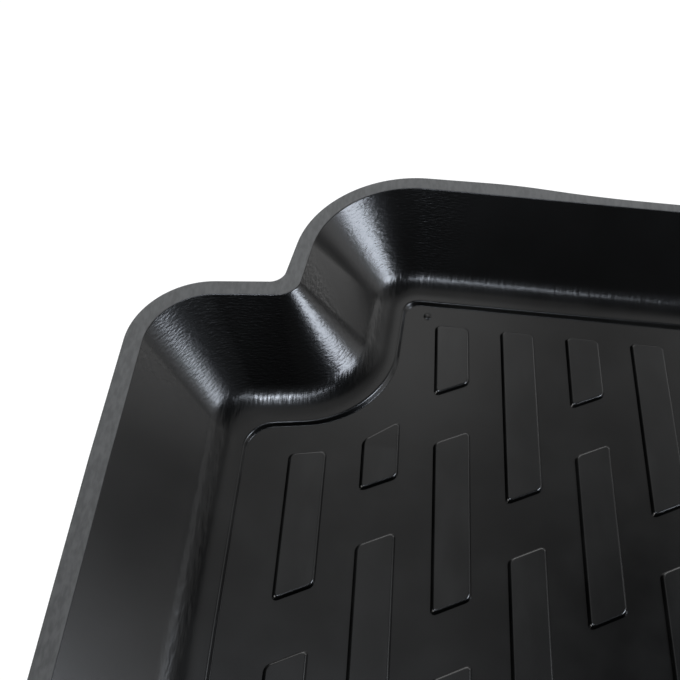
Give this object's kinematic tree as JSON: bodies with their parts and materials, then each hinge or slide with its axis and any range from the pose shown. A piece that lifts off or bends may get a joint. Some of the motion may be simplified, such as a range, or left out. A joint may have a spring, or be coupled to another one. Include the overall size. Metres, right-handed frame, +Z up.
{
  "type": "car floor mat",
  "caption": "One-piece moulded tray mat with drafted walls, a flat lip, stepped back corners and staggered raised treads on a recessed field.",
  "frame": {"origin": "centre of the underside, on the surface that the mat lies on", "axes": "+Z up out of the tray, +Y towards the back wall with the stepped corners, +X to the right along it"},
  "size_m": [0.8592, 0.6372, 0.044],
  "materials": {
    "moulded_rubber": "black satin moulding with fine rub marks, matt grey on the flat lip"
  },
  "bodies": {
    "root": {"floor_mat": "moulded_rubber"}
  },
  "joints": []
}
